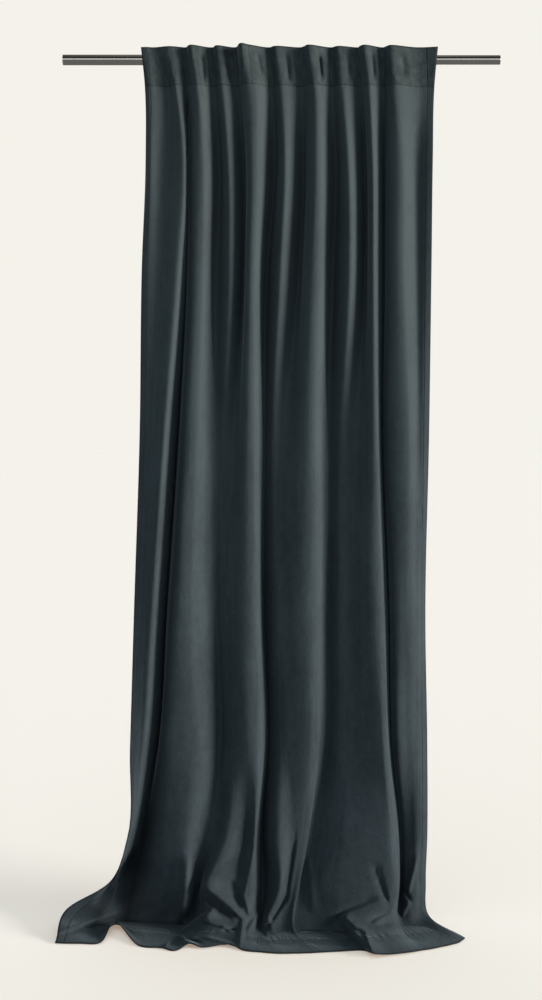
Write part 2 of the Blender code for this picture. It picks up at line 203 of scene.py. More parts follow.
# How far each line stands in front of the rod's axis at each level, cm
Depth = namedtuple("Depth", "top header chest upper middle lower knee shin")
DEPTHS = {
    "left_edge":  Depth(2.0, 2.0, 1.5, 1.0, 0.5, 2.0, 3.5, 3.5),
    "left_hem":   Depth(2.1, 2.6, 2.9, 2.0, 1.6, 2.4, 3.6, 3.4),
    "valley_0":   Depth(1.7, 1.7, 1.8, 2.2, 2.6, 3.2, 3.6, 2.8),
    "crest_1":    Depth(3.0, 3.8, 4.6, 4.8, 4.8, 4.0, 2.8, 1.2),
    "valley_1":   Depth(1.7, 1.7, -2.6, -5.0, -6.0, -6.0, -5.0, -2.5),
    "rim_2":      Depth(2.8, 3.0, 3.4, 3.6, 3.6, 3.4, 3.2, 1.6),
    "crest_2":    Depth(4.6, 4.9, 5.2, 4.8, 4.8, 4.6, 4.8, 4.4),
    "valley_2":   Depth(1.7, 1.7, 0.2, -0.4, 0.3, -0.2, -0.8, 1.8),
    "crest_3":    Depth(4.0, 4.0, 4.5, 3.9, 1.2, 0.6, 0.6, 2.8),
    "valley_3":   Depth(1.7, 1.7, 0.0, -0.2, 0.8, 2.2, 2.8, 5.6),
    "rim_4":      Depth(6.2, 4.6, 4.8, 4.6, 4.4, 4.3, 5.0, 3.8),
    "crest_4":    Depth(4.9, 5.2, 5.8, 5.6, 4.9, 4.3, 5.0, 5.6),
    "valley_4":   Depth(1.7, 1.7, -0.2, -2.0, -1.2, -3.0, -3.4, -2.4),
    "crest_5":    Depth(3.4, 3.9, 5.2, 4.3, 0.8, 1.0, 1.6, 5.8),
    "valley_5":   Depth(1.7, 1.7, -0.5, -1.4, 1.4, 2.6, 3.5, 4.6),
    "rim_6":      Depth(2.8, 2.8, 3.6, 3.9, 4.0, 4.3, 4.8, 4.4),
    "crest_6":    Depth(4.7, 4.9, 5.6, 5.4, 4.9, 4.2, 4.4, 3.9),
    "valley_6":   Depth(1.7, 1.7, -0.8, -1.8, -1.8, -1.8, -0.6, 2.4),
    "crest_7":    Depth(3.3, 3.9, 5.2, 5.0, 0.4, 0.3, 1.6, 4.8),
    "valley_7":   Depth(1.7, 1.7, -0.4, -1.2, 0.4, 1.5, 3.2, 6.8),
    "rim_8":      Depth(3.2, 3.2, 3.8, 3.8, 3.8, 4.3, 6.2, 8.6),
    "crest_8":    Depth(4.6, 4.8, 5.2, 5.0, 4.4, 4.2, 6.4, 7.8),
    "valley_8":   Depth(1.7, 1.7, -1.0, -2.0, -2.4, -2.6, -2.6, -1.5),
    "rim_9":      Depth(3.2, 3.2, 3.4, 3.2, 2.8, 3.0, 2.9, 1.4),
    "crest_9":    Depth(4.3, 4.6, 4.8, 4.6, 4.4, 3.9, 2.9, 2.6),
    "valley_9":   Depth(1.75, 1.75, 0.6, 0.8, 1.8, 2.6, 2.3, 3.2),
    "right_hem":  Depth(1.9, 1.8, 1.6, 1.7, 1.8, 1.4, 1.7, 2.8),
    "right_edge": Depth(2.6, 2.2, 2.2, 2.0, 1.4, -0.2, 0.7, 1.8),
}

# Where each line bends on to the floor and ends at the hem: seen across in
# drawing steps, in front of the rod in cm, and over the floor in cm.
Foot = namedtuple("Foot", "ankle_x ankle_y ankle_z land_x land_y land_z hem_x hem_y hem_z")
FEET = {
    "left_edge":  Foot(110, 1.6, 11.3, 68, 1.8, 4.4, 55, 16.9, 0.3),
    "left_hem":   Foot(112, 1.2, 10.8, 77, 1.4, 3.2, 63, 17.2, 0.3),
    "valley_0":   Foot(114, 0.6, 10.6, 90, 1.0, 1.8, 79, 17.3, 0.3),
    "crest_1":    Foot(117, 0.0, 10.6, 104, 0.8, 0.9, 100, 17.0, 0.4),
    "valley_1":   Foot(125, -1.0, 11.0, 119, 0.4, 0.8, 116, 6.0, 2.0),
    "rim_2":      Foot(150, 1.2, 11.0, 138, 1.0, 0.8, 138, 18.6, 0.3),
    "crest_2":    Foot(181, 4.0, 11.0, 172, 3.0, 0.8, 160, 20.4, 0.3),
    "valley_2":   Foot(201, 1.0, 11.0, 188, 2.4, 0.8, 178, 21.9, 0.3),
    "crest_3":    Foot(203, 5.0, 11.0, 205, 8.0, 3.0, 190, 18.0, 0.5),
    "valley_3":   Foot(209, 6.8, 11.0, 218, 9.0, 4.0, 203, 20.5, 0.4),
    "rim_4":      Foot(236, 5.5, 11.0, 232, 9.0, 4.0, 226, 18.6, 0.5),
    "crest_4":    Foot(251, 6.2, 11.0, 247, 8.0, 3.0, 242, 22.0, 0.3),
    "valley_4":   Foot(264, -0.5, 11.0, 262, 5.0, 1.0, 260, 23.5, 0.3),
    "crest_5":    Foot(278, 6.0, 11.0, 266, 8.2, 1.5, 278, 24.5, 0.3),
    "valley_5":   Foot(287, 5.0, 11.0, 281, 6.6, 1.0, 296, 24.4, 0.3),
    "rim_6":      Foot(292.5, 4.6, 11.0, 288, 6.8, 1.2, 307, 24.2, 0.3),
    "crest_6":    Foot(297.5, 4.8, 11.0, 293, 7.6, 1.5, 318, 23.8, 0.3),
    "valley_6":   Foot(304.5, 3.8, 11.0, 301.5, 7.4, 1.0, 338, 23.0, 0.3),
    "crest_7":    Foot(322, 6.6, 11.0, 338, 8.8, 1.0, 362, 22.3, 0.3),
    "valley_7":   Foot(346, 8.4, 11.0, 347, 9.6, 3.6, 374, 26.7, 1.0),
    "rim_8":      Foot(383, 9.0, 11.0, 366, 10.0, 3.2, 388, 26.0, 0.6),
    "crest_8":    Foot(395, 8.2, 11.0, 386, 7.0, 3.0, 403, 24.8, 0.5),
    "valley_8":   Foot(400.5, -0.5, 11.0, 400, 2.0, 1.2, 424, 22.0, 0.3),
    "rim_9":      Foot(404, 1.8, 11.0, 406, 2.2, 1.0, 433, 21.0, 0.3),
    "crest_9":    Foot(410.5, 2.9, 11.0, 412, 2.4, 1.0, 442, 19.6, 0.3),
    "valley_9":   Foot(417, 2.6, 11.0, 420, 1.6, 1.4, 452, 18.0, 0.3),
    "right_hem":  Foot(420.5, 1.8, 11.0, 424, 1.2, 1.8, 459, 16.5, 0.3),
    "right_edge": Foot(425.5, 0.8, 11.0, 428, 0.5, 2.3, 465, 13.4, 0.3),
}

# Small dents and ridges pressed out of the sheet towards the eye. Each runs
# between two places seen in drawing steps. left and right are the reach of its
# flanks in steps; a level crease has its upper flank as the right one. high is
# its height in mm, below zero for a dent.
Crease = namedtuple("Crease", "x0 y0 x1 y1 left right high")
CREASES = (
    Crease(202, 55, 204, 80, 3, 5, -15),
    Crease(227, 55, 230, 80, 3, 5, -14),
    Crease(257, 54, 261, 76, 3, 5, -10),
    Crease(287, 55, 289, 80, 3, 5, -15),
    Crease(319, 56, 321, 78, 3, 5, -15),
    Crease(348, 55, 350, 78, 3, 5, -12),
    Crease(372, 55, 374, 78, 3, 5, -14),
    Crease(402, 55, 404, 78, 3, 5, -14),
    Crease(422, 54, 423, 80, 3, 4, -3),
    Crease(132, 852, 100, 898, 5, 30, -50),
    Crease(187.5, 125, 186.5, 275, 3, 3, -22),
    Crease(203, 885, 241, 917, 4, 15, 22),
    Crease(188, 862, 184, 924, 18, 8, 34),
    Crease(60, 932, 112, 914, 22, 5, 34),
    Crease(205, 899, 230, 918, 7, 7, -16),
    Crease(234, 882, 240, 908, 8, 4, -13),
    Crease(252, 856, 244, 896, 5, 5, 10),
    Crease(244, 896, 250, 916, 5, 6, 12),
    Crease(249, 820, 239, 880, 6, 5, -9),
    Crease(264, 808, 246, 813, 4, 6, -13),
    Crease(271, 824, 290, 822, 4, 6, 11),
    Crease(295, 842, 287, 896, 10, 3, -11),
    Crease(287, 896, 264, 933, 9, 4, -14),
    Crease(309, 860, 312, 908, 4, 9, 7),
    Crease(298, 932, 343, 934, 3, 3, -16),
    Crease(219, 893, 238, 911, 8, 3, 9),
    Crease(206, 938, 236, 946, 3, 4, 12),
    Crease(176, 935, 165, 947, 4, 5, 14),
    Crease(345, 940, 366, 950, 3, 4, -12),
    Crease(326, 932, 345, 911, 8, 5, -11),
    Crease(345, 911, 374, 899, 8, 4, -10),
    Crease(377, 866, 388, 902, 7, 3, -13),
    Crease(397, 903, 390, 914, 4, 6, 11),
    Crease(390, 914, 374, 923, 4, 7, 12),
    Crease(344, 916, 354, 927, 3, 9, 12),
    Crease(354, 927, 364, 930, 3, 9, 16),
    Crease(364, 930, 373, 957, 3, 12, 15),
    Crease(417, 858, 408, 893, 6, 4, 10),
    Crease(409, 902, 402, 915, 5, 4, 10),
    Crease(400, 882, 410, 900, 4, 4, -9),
    Crease(177, 934, 214, 909, 3, 22, 38),
    Crease(205, 921, 222, 926, 3, 6, 12),
    Crease(222, 926, 232, 932, 3, 5, 14),
    Crease(224, 930, 236, 930, 4, 4, -18),
    Crease(243, 920, 240, 945, 5, 5, 16),
    Crease(179, 936, 200, 948, 7, 3, 20),
    Crease(185, 940, 199, 942, 3, 3, -20),
    Crease(247, 933, 262, 908, 5, 5, 14),
    Crease(283, 938, 305, 944, 3, 4, 2),
    Crease(262, 906, 256, 930, 5, 4, -13),
    Crease(268, 918, 274, 934, 4, 5, 9),
    Crease(120, 922, 187, 925, 3, 4, -9),
    Crease(150, 918, 168, 905, 4, 6, 4),
    Crease(180, 921, 172, 900, 5, 4, 3),
)


class SheetSizes(bpy.types.PropertyGroup):
    thick: FloatProperty(name="Cloth thickness", description="Through the pile and the ground cloth",
                         default=0.002, min=0.0005, max=0.004, unit="LENGTH")
    column: FloatProperty(name="Column width", description="Widest column of the sheet's mesh",
                          default=0.0054, min=0.004, max=0.05, unit="LENGTH")
    head_row: FloatProperty(name="Header row", description="Row height of the header",
                            default=0.0065, min=0.003, max=0.1, unit="LENGTH")
    hang_row: FloatProperty(name="Hanging row", description="Row height where the cloth hangs",
                            default=0.031, min=0.005, max=0.1, unit="LENGTH")
    foot_row: FloatProperty(name="Foot row", description="Row height where the cloth bends to the floor",
                            default=0.0052, min=0.003, max=0.1, unit="LENGTH")
    side_hem: FloatProperty(name="Side hem", description="Width of the turned side hems",
                            default=0.020, min=0.005, max=0.1, unit="LENGTH")
    foot_hem: FloatProperty(name="Bottom hem", description="Depth of the turned bottom hem",
                            default=0.084, min=0.02, max=0.3, unit="LENGTH")
    header: FloatProperty(name="Header", description="Depth of the sewn header",
                          default=0.106, min=0.02, max=0.2, unit="LENGTH")


class TabSizes(bpy.types.PropertyGroup):
    width: FloatProperty(name="Tab width", description="Width of each back tab",
                         default=0.024, min=0.01, max=0.06, unit="LENGTH")
    thick: FloatProperty(name="Tab thickness", description="Two layers of cloth",
                         default=0.0015, min=0.0005, max=0.004, unit="LENGTH")


class RodSizes(bpy.types.PropertyGroup):
    sides: IntProperty(name="Sides", description="Flats round each tube", default=96, min=24, max=256)
    rim: FloatProperty(name="Rim", description="Rounding of the cut ends",
                       default=0.0008, min=0.0002, max=0.003, unit="LENGTH")
    sunk: FloatProperty(name="Mouth", description="How far a tube's mouth is hollow",
                        default=0.26, min=0.05, max=0.5, unit="LENGTH")


class CurtainColours(bpy.types.PropertyGroup):
    pile: FloatVectorProperty(name="Pile", description="Colour of the velvet's face at the top",
                              subtype="COLOR", size=3, default=(0.0252, 0.0304, 0.0303), min=0, max=1)
    # The foot colour is a painted shade tint: the face's colour made cooler towards the foot
    foot: FloatVectorProperty(name="Foot", description="Colour of the velvet's face at the foot",
                              subtype="COLOR", size=3, default=(0.0245, 0.0310, 0.0352), min=0, max=1)
    ground: FloatVectorProperty(name="Ground", description="Colour of the velvet's back", subtype="COLOR",
                                size=3, default=(0.027, 0.034, 0.037), min=0, max=1)
    thread: FloatVectorProperty(name="Thread", description="Colour of the sewing thread", subtype="COLOR",
                                size=3, default=(0.020, 0.027, 0.030), min=0, max=1)
    steel: FloatVectorProperty(name="Steel", description="Colour of the tubes", subtype="COLOR",
                               size=3, default=(0.62, 0.61, 0.58), min=0, max=1)


class StageSettings(bpy.types.PropertyGroup):
    backdrop: FloatVectorProperty(name="Backdrop", description="Colour of the pale surround",
                                  subtype="COLOR", size=3, default=(0.905, 0.888, 0.823), min=0, max=1)
    sun: FloatProperty(name="Key light", description="Strength of the soft key light",
                       default=9.2, min=0, max=20)
    fill: FloatProperty(name="Fill", description="Strength of the light from all round",
                        default=0.66, min=0, max=5)


# Sheet


def seen(across, forward, over_floor):
    """World place of a point seen at a drawing step, so far forward and up (cm)."""
    forward = forward / 100
    shrink = (EYE_AWAY - forward) / EYE_AWAY
    x = (EYE_ACROSS - MIDDLE + (across - EYE_ACROSS) * shrink) * STEP
    return (x, -forward, over_floor / 100 + FLOOR_Z)


def fold_grid():
    """Places of every fold line at every station, lines first."""
    grid = []
    for line in LINES:
        depth = DEPTHS[line.name]
        foot = FEET[line.name]
        places = [seen(*three) for three in zip(line[2:], depth, LEVELS)]
        places += [seen(*foot[0:3]), seen(*foot[3:6]), seen(*foot[6:9])]
        grid.append(places)
    return np.array(grid)


def spline(points, knots, at):
    """Smooth curve through the first axis of points, read at the given knots."""
    knots = np.asarray(knots, float)
    at = np.asarray(at, float)
    shape = (-1,) + (1,) * (points.ndim - 1)
    step = np.diff(knots).reshape(shape)
    slope = np.diff(points, axis=0) / step
    share = step[1:] / (step[1:] + step[:-1])
    tangent = np.concatenate([
        slope[:1], slope[:-1] * share + slope[1:] * (1 - share), slope[-1:]])
    part = np.clip(np.searchsorted(knots, at, side="right") - 1, 0, len(knots) - 2)
    size = step[part]
    t = ((at - knots[part]).reshape(shape)) / size
    return (points[part] * (2 * t ** 3 - 3 * t ** 2 + 1)
            + tangent[part] * size * (t ** 3 - 2 * t ** 2 + t)
            + points[part + 1] * (3 * t ** 2 - 2 * t ** 3)
            + tangent[part + 1] * size * (t ** 3 - t ** 2))


def spread(knots, widest):
    """Knot values with each interval divided into equal parts no wider than widest."""
    values = []
    for low, high in zip(knots[:-1], knots[1:]):
        count = max(1, math.ceil((high - low) / widest))
        values += [low + (high - low) * k / count for k in range(count)]
    return values + [knots[-1]]


def smooth_ramp(value, low, high):
    """Rises smoothly from 0 at low to 1 at high."""
    t = np.clip((value - low) / (high - low), 0.0, 1.0)
    return t * t * (3 - 2 * t)


def steps_of(places):
    """Drawing steps across and down at which places are seen."""
    away = EYE_AWAY + places[..., 1]
    across = EYE_ACROSS + (places[..., 0] - EYE[0]) / STEP * EYE_AWAY / away
    down = HORIZON - (places[..., 2] - EYE[2]) / STEP * EYE_AWAY / away
    return across, down


def crease_height(across, down):
    """Height of all creases at the given drawing steps, metres."""
    total = np.zeros_like(across)
    for c in CREASES:
        along_x, along_y = c.x1 - c.x0, c.y1 - c.y0
        length = math.hypot(along_x, along_y)
        along_x, along_y = along_x / length, along_y / length
        run = (across - c.x0) * along_x + (down - c.y0) * along_y
        side = (across - c.x0) * along_y - (down - c.y0) * along_x
        if along_y < 0:
            side = -side
        fade = CREASE_FADE * length
        ends = smooth_ramp(run, -fade, fade) * (1 - smooth_ramp(run, length - fade, length + fade))
        reach = np.where(side < 0, c.left, c.right)
        t = np.clip(1 - np.abs(side) / reach, 0.0, 1.0)
        tent = t * t * (1.6 - 0.6 * t)
        total += ends * tent * c.high / 1000
    return total


def drape(sizes):
    """Fine grid of the sheet's middle surface, with its flat places in metres."""
    flats = [line.flat for line in LINES]
    across = np.array(spread(flats, sizes.column * 100))
    down = [0.0]
    stretches = ((DOWN[:2], sizes.head_row), (DOWN[1:8], sizes.hang_row), (DOWN[7:], sizes.foot_row))
    for stations, row in stretches:
        down += spread(stations, row * 100)[1:]
    columns = spline(fold_grid(), flats, across)
    rows = spline(np.swapaxes(columns, 0, 1), DOWN, down)
    places = np.swapaxes(rows, 0, 1)
    seen_x, seen_y = steps_of(places)
    sight = np.array(EYE) - places
    sight /= np.linalg.norm(sight, axis=2, keepdims=True)
    places = places + sight * crease_height(seen_x, seen_y)[..., None]
    places[..., 2] = np.maximum(places[..., 2], FLOOR_Z + FLOOR_LIE)
    by_tabs = (places[..., 2] > TAB_ZONE) & (places[..., 1] > -TAB_CLEAR)
    places[..., 1] = np.where(by_tabs, -TAB_CLEAR, places[..., 1])
    return places, across / 100, np.array(down) / 100


def grid_normals(places):
    """Unit normals of a grid, towards the face of the velvet."""
    along = np.gradient(places, axis=0)
    downwards = np.gradient(places, axis=1)
    normal = np.cross(downwards, along)
    normal /= np.linalg.norm(normal, axis=2, keepdims=True) + NOT_ZERO
    return normal


def new_piece(name, mesh, *materials):
    """Object of a mesh at the origin, linked and given its materials."""
    for mat in materials:
        mesh.materials.append(mat)
    piece = bpy.data.objects.new(name, mesh)
    bpy.context.scene.collection.objects.link(piece)
    return piece


def sheet_mesh(sizes):
    """Closed mesh of the sheet: face grid, back grid and the rim between them."""
    places, across, down = drape(sizes)
    normal = grid_normals(places)
    count, rows = places.shape[:2]
    width, length = CLOTH_FLAT
    turned_down = (down < sizes.header) | (down > length - sizes.foot_hem)
    turned_across = (across < sizes.side_hem) | (across > width - sizes.side_hem)
    turned = turned_across[:, None] | turned_down[None, :]
    half = (sizes.thick / 2 * (1 + HEM_MORE * turned))[..., None]
    layers = [places + normal * half, places - normal * sizes.thick / 2]
    for layer in layers:
        layer[..., 2] = np.maximum(layer[..., 2], FLOOR_Z + FLOOR_TOUCH)
    verts = np.concatenate([layer.reshape(-1, 3) for layer in layers])
    index = np.arange(count * rows).reshape(count, rows)
    back = index + count * rows
    a, b = index[:-1, :-1], index[1:, :-1]
    c, d = index[1:, 1:], index[:-1, 1:]
    front_faces = np.stack([a, d, c, b], -1).reshape(-1, 4)
    back_faces = front_faces[:, ::-1] + count * rows
    rim = []
    loop = [(k, 0) for k in range(count)]
    loop += [(count - 1, k) for k in range(1, rows)]
    loop += [(k, rows - 1) for k in range(count - 2, -1, -1)]
    loop += [(0, k) for k in range(rows - 2, 0, -1)]
    for one, two in zip(loop, loop[1:] + loop[:1]):
        rim.append((index[one], index[two], back[two], back[one]))
    faces = np.concatenate([front_faces, back_faces, np.array(rim)])
    mesh = bpy.data.meshes.new("velvet_curtain")
    mesh.from_pydata(verts.tolist(), [], faces.tolist())
    flat_u = np.repeat(across, rows)
    flat_v = np.tile(down, count)
    flat_uv = np.stack([np.tile(flat_u, 2), np.tile(flat_v, 2)], -1)
    layer = mesh.uv_layers.new(name="flat")
    corner = np.empty(len(mesh.loops), dtype=np.int32)
    mesh.loops.foreach_get("vertex_index", corner)
    layer.data.foreach_set("uv", flat_uv[corner].astype(np.float32).ravel())
    slots = np.zeros(len(faces), dtype=np.int32)
    slots[len(front_faces):2 * len(front_faces)] = 1
    mesh.polygons.foreach_set("material_index", slots)
    mesh.polygons.foreach_set("use_smooth", np.ones(len(faces), dtype=bool))
    mesh.update()
    return mesh


# Shader values


class Val:
    """A shader value that adds, multiplies and compares like a number."""

    def __init__(self, tree, socket):
        self.tree = tree
        self.socket = socket

    def math(self, operation, *others):
        node = self.tree.nodes.new("ShaderNodeMath")
        node.operation = operation
        for slot, value in zip(node.inputs, (self, *others)):
            join(self.tree, slot, value)
        return Val(self.tree, node.outputs[0])

    def __add__(self, other):
        return self.math("ADD", other)

    def __sub__(self, other):
        return self.math("SUBTRACT", other)

    def __mul__(self, other):
        return self.math("MULTIPLY", other)

    def __truediv__(self, other):
        return self.math("DIVIDE", other)

    def near(self, value, width):
        """One at the value, falling to zero a width away."""
        away = (self - value).math("ABSOLUTE") / width
        return away.math("MULTIPLY_ADD", -1.0, 1.0).most(0.0)

    def ramp(self, zero, one):
        """Zero up to one place, one from the other on, even between them."""
        return ((self - zero) / (one - zero)).held()

    def held(self):
        """Held between zero and one."""
        return self.most(0.0).math("MINIMUM", 1.0)

    def most(self, other):
        """The greater of the two."""
        return self.math("MAXIMUM", other)

    def below(self, value):
        return self.math("LESS_THAN", value)

    def fraction(self):
        return self.math("FRACT")


def join(tree, slot, value):
    """Link a shader value to a socket, or set a plain one on it."""
    if isinstance(value, Val):
        tree.links.new(value.socket, slot)
    else:
        slot.default_value = value


def mix(tree, factor, one, two):
    """A colour between two others."""
    made = tree.nodes.new("ShaderNodeMix")
    made.data_type = "RGBA"
    for slot, value in ((0, factor), (6, one), (7, two)):
        join(tree, made.inputs[slot], value)
    return Val(tree, made.outputs[2])


def axes(tree, socket):
    """The three values of a vector."""
    split = tree.nodes.new("ShaderNodeSeparateXYZ")
    tree.links.new(socket, split.inputs[0])
    return [Val(tree, output) for output in split.outputs]


class Finish:
    """A new material with its shader, and methods for the nodes that feed it."""

    def __init__(self, name, **values):
        self.material = bpy.data.materials.new(name)
        self.material.use_nodes = True
        self.tree = self.material.node_tree
        self.shader = self.tree.nodes["Principled BSDF"]
        for label, value in values.items():
            self.set(label.replace("_", " "), value)

    def set(self, label, value):
        join(self.tree, self.shader.inputs[label], value)

    def node(self, kind, output=0, inputs=(), **settings):
        made = self.tree.nodes.new("ShaderNode" + kind)
        for key, value in settings.items():
            setattr(made, key, value)
        for label, value in dict(inputs).items():
            join(self.tree, made.inputs[label], value)
        return Val(self.tree, made.outputs[output])

    def flat_place(self):
        """Places across and down the cut cloth, metres."""
        return axes(self.tree, self.node("UVMap", uv_map="flat").socket)[:2]

    def own_place(self):
        """Place in the piece's own frame, as a vector."""
        return self.node("TexCoord", output=3)

    def noise(self, vector, scale, detail=3.0, rough=0.5):
        return self.node("TexNoise", inputs={"Vector": vector, "Scale": scale, "Detail": detail,
                                             "Roughness": rough})

    def pattern(self, across, down, look):
        """Noise that is stretched over the cut cloth."""
        vector = self.node("CombineXYZ", inputs={"X": across * look.wide, "Y": down * look.tall, "Z": 0.0})
        return self.noise(vector, 1.0, look.detail, look.rough)

    def mix(self, factor, one, two):
        return mix(self.tree, factor, one, two)

    def bump(self, height, distance, strength=1.0):
        made = self.node("Bump", inputs={"Height": height, "Distance": distance, "Strength": strength})
        self.set("Normal", made)


def shade(colour, factor):
    """The colour made darker or lighter, with its alpha."""
    return (*[min(1.0, c * factor) for c in colour], 1.0)


def velvet_finish(colours, sizes):
    """The velvet's face: nap streaks, mottles, pile grain, seams; painted light at the top, painted shade
    at the foot, header, deep fold, left foot and turned edges.
    """
    f = Finish("velvet_face", Roughness=0.85, Specular_IOR_Level=0.10, Sheen_Weight=0.22,
               Sheen_Roughness=0.35)
    f.set("Sheen Tint", SHEEN_TINT)
    across, down = f.flat_place()
    length = CLOTH_FLAT[1]
    header = down.below(sizes.header)
    line = seam_line(f, across, down, sizes)
    beside = down.near(sizes.header, HEADER_PULL).most(down.near(length - sizes.foot_hem, FOOT_PULL))
    # Painted light lifts the tone towards the top and painted shade lowers it towards the foot
    tone = down.ramp(*TOP_LIGHT_RAMP) * TOP_PAINTED_LIGHT - down.ramp(*FOOT_SHADE_RAMP) * FOOT_PAINTED_SHADE
    # Painted shade lowers the tone in the header
    tone = tone - header * HEADER_PAINTED_SHADE + TONE_MIDDLE
    height = f.pattern(across, down, PUCKER) * beside * PUCKER.relief - line * SEAM_SUNK
    for look in (NAP, BLOTCH, CRUSH, GRAIN):
        value = f.pattern(across, down, look)
        tone = tone + (value - 0.5) * (header * look.header + look.tone)
        height = height + value * look.relief
    # Towards the foot the pile's colour turns to the cooler foot colour, a painted shade tint
    part_down = (down / length).math("MINIMUM", 1.0)
    dark, light = (f.mix(part_down, shade(colours.pile, factor), shade(colours.foot, factor))
                   for factor in (PILE_DARK, PILE_LIGHT))
    colour = f.mix(tone.held(), dark, light)
    # Painted shade darkens the colour inside the deep fold, at the left foot and along the turned edges;
    # the seams' dark is their thread
    deep_fold_shade = across.near(*DEEP_FOLD_SHADE) * down.ramp(*DEEP_SHADE_RAMP)
    left_foot_shade = across.near(*LEFT_FOOT_SHADE_ACROSS) * down.near(*LEFT_FOOT_SHADE_DOWN)
    for where, tint in ((line * 0.6, shade(colours.thread, 0.6)),
                        (deep_fold_shade * 0.9, shade(colours.pile, 0.2)),
                        (left_foot_shade * 0.75, shade(colours.pile, 0.3)),
                        (edge_shade_band(across, down) * 0.75, shade(colours.thread, 0.35))):
        colour = f.mix(where, colour, tint)
    f.set("Base Color", colour)
    f.bump(height, 0.0012, 0.8)
    return f.material


def edge_shade_band(across, down):
    """One at the sheet's outer edges, where the cloth turns under: the band of painted shade."""
    width, length = CLOTH_FLAT
    sides = across.near(0.0, EDGE_SHADE_WIDTH).most(across.near(width, EDGE_SHADE_WIDTH))
    ends = down.near(0.0, EDGE_SHADE_WIDTH).most(down.near(length, EDGE_SHADE_WIDTH))
    return sides.most(ends)


def seam_line(f, across, down, sizes):
    """One along the stitches of the header and the side hems, less along the bottom hem's."""
    width, length = CLOTH_FLAT
    stray = f.pattern(across, down, STRAY) * WANDER - WANDER / 2
    top = (down + stray).near(sizes.header, STITCH_WIDE)
    foot = (down + stray).near(length - sizes.foot_hem, STITCH_WIDE) * 0.6
    left = (across + stray).near(sizes.side_hem, STITCH_WIDE)
    right = (across + stray).near(width - sizes.side_hem, STITCH_WIDE)
    level = top.most(foot) * (across / STITCH_LONG).fraction().below(STITCH_SHARE)
    upright = left.most(right) * (down / STITCH_LONG).fraction().below(STITCH_SHARE)
    return level.most(upright)


def weave_on(f, across, down, cloud, colour, look):
    """Gives a finish the colour and the relief of a plain weave."""
    threads = (across * look.warp).math("SINE") * (down * look.weft).math("SINE")
    weave = threads.math("MULTIPLY_ADD", 0.5, 0.5)
    tone = (weave * look.share + cloud * (1 - look.share)).held()
    f.set("Base Color", f.mix(tone, shade(colour, look.dark), shade(colour, look.light)))
    f.bump(weave, 0.0003, look.relief)


def ground_finish(colours):
    """The velvet's plain woven back."""
    f = Finish("velvet_back", Roughness=0.92, Specular_IOR_Level=0.2)
    across, down = f.flat_place()
    weave_on(f, across, down, f.pattern(across, down, CLOUD), colours.ground, BACK_WEAVE)
    return f.material


class CURTAIN_OT_sheet(bpy.types.Operator):
    """Build the draped velvet sheet in place of its plain solid"""

    bl_idname = "curtain.sheet"
    bl_label = "Velvet Sheet"

    def execute(self, context):
        sizes = context.scene.curtain_sheet
        colours = context.scene.curtain_colours
        mesh = sheet_mesh(sizes)
        piece = new_piece("velvet_curtain", mesh, velvet_finish(colours, sizes), ground_finish(colours))
        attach(piece, "root")
        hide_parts("curtain_panel")
        return {"FINISHED"}


# Tabs


def tab_finish(colours):
    """Woven tape of the back tabs."""
    f = Finish("tab_tape", Roughness=0.9, Specular_IOR_Level=0.2)
    place = f.own_place()
    x, _, z = axes(f.tree, place.socket)
    weave_on(f, x, z, f.noise(place, TAPE_CLOUD), colours.ground, TAPE_WEAVE)
    return f.material


class CURTAIN_OT_tabs(bpy.types.Operator):
    """Build the taped back tabs in place of the plain ones, one shape for each tube"""

    bl_idname = "curtain.tabs"
    bl_label = "Back Tabs"

    def execute(self, context):
        sizes = context.scene.curtain_tabs
        finish = tab_finish(context.scene.curtain_colours)
        made = {}
        for node in sorted(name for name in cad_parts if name.startswith("tab_")):
            low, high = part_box(node)
            reach = round(high[1], 5)
            if reach not in made:
                made[reach] = tab_mesh(low, high, sizes)
                made[reach].materials.append(finish)
            mesh = made[reach].copy()
            mesh.name = "taped_" + node
            mesh.transform(Matrix.Translation(((low[0] + high[0]) / 2, 0, 0)))
            piece = new_piece(mesh.name, mesh)
            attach(piece, "root")
            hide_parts(node)
        for mesh in made.values():
            bpy.data.meshes.remove(mesh)
        return {"FINISHED"}


